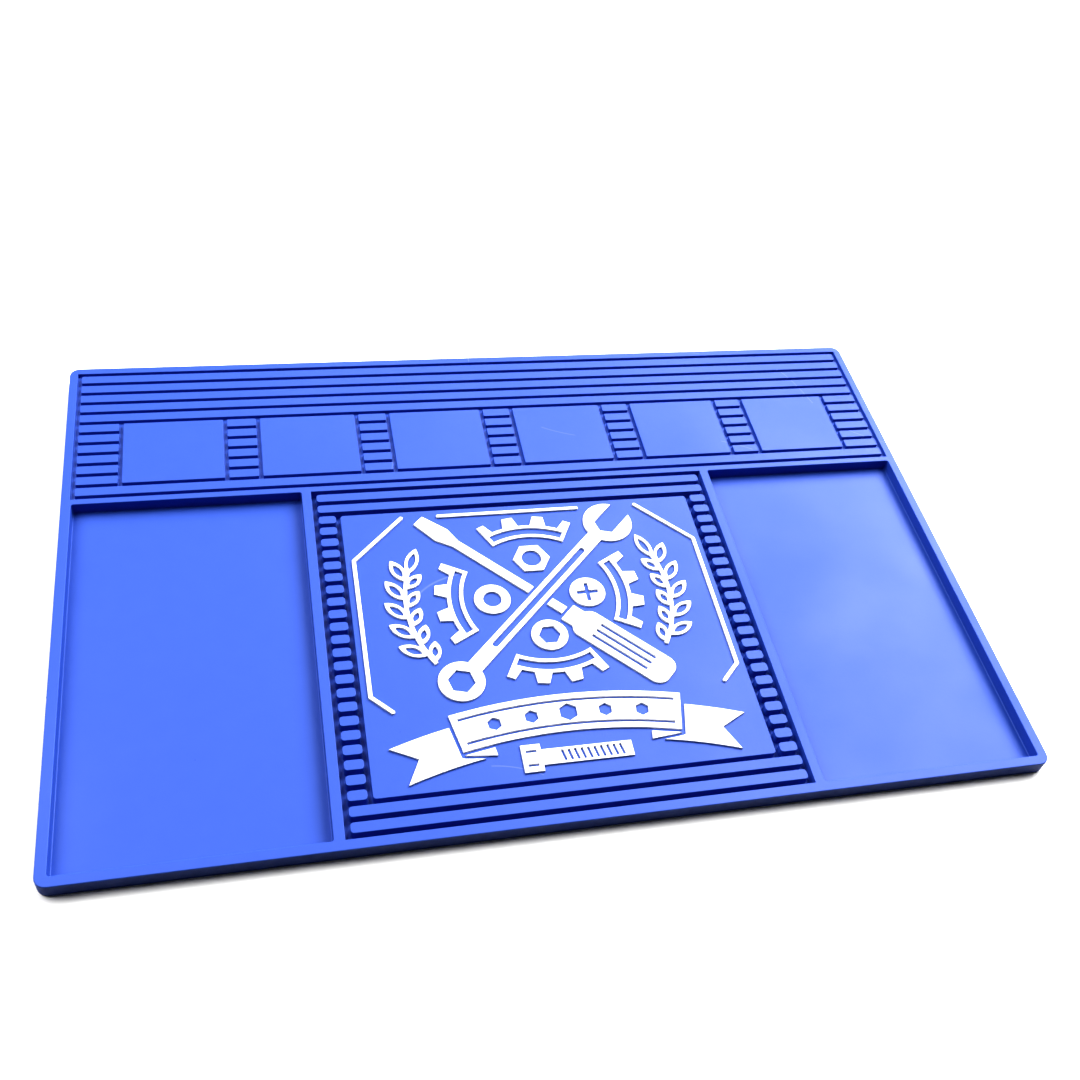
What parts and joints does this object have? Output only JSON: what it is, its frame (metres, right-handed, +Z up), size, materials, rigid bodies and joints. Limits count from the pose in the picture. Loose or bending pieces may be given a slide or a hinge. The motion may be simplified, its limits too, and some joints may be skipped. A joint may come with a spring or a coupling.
{
  "type": "parts sorting tray mat",
  "caption": "Flexible moulded rubber work mat with two shallow parts trays, a ribbed back field with flat magnetic pads, and a framed centre panel with a raised workshop emblem.",
  "frame": {"origin": "centre of the underside, on the surface that the mat lies on", "axes": "+X to the right along the long side, +Y to the back where the pads are, +Z up"},
  "size_m": [0.45, 0.3, 0.0085],
  "materials": {
    "blue_rubber": "satin moulded soft PVC rubber, fine grain",
    "white_rubber": "satin moulded white rubber",
    "cover_rubber": "matt rubber",
    "magnet_steel": "nickel-plated sintered magnet, satin"
  },
  "bodies": {
    "root": {"mat_body": "blue_rubber", "pad_magnet_1": "magnet_steel", "pad_magnet_2": "magnet_steel", "pad_magnet_3": "magnet_steel", "pad_magnet_4": "magnet_steel", "pad_magnet_5": "magnet_steel", "pad_magnet_6": "magnet_steel", "magnet_cover_1": "cover_rubber", "magnet_cover_2": "cover_rubber", "magnet_cover_3": "cover_rubber", "magnet_cover_4": "cover_rubber", "magnet_cover_5": "cover_rubber", "magnet_cover_6": "cover_rubber", "emblem_gear_top": "white_rubber", "emblem_gear_left": "white_rubber", "emblem_gear_right": "white_rubber", "emblem_gear_bottom": "white_rubber", "emblem_spanner": "white_rubber", "emblem_driver_handle": "white_rubber", "emblem_driver_shank": "white_rubber", "emblem_driver_tip": "white_rubber", "emblem_hex_nut": "white_rubber", "emblem_washer": "white_rubber", "emblem_cross_screw": "white_rubber", "emblem_socket_screw": "white_rubber", "emblem_laurel_left": "white_rubber", "emblem_laurel_right": "white_rubber", "emblem_frame_top": "white_rubber", "emblem_frame_left": "white_rubber", "emblem_frame_right": "white_rubber", "emblem_bolt": "white_rubber", "emblem_ribbon_band": "white_rubber", "emblem_ribbon_fold_left": "white_rubber", "emblem_ribbon_fold_right": "white_rubber", "emblem_ribbon_tail_left": "white_rubber", "emblem_ribbon_tail_right": "white_rubber"}
  },
  "joints": []
}
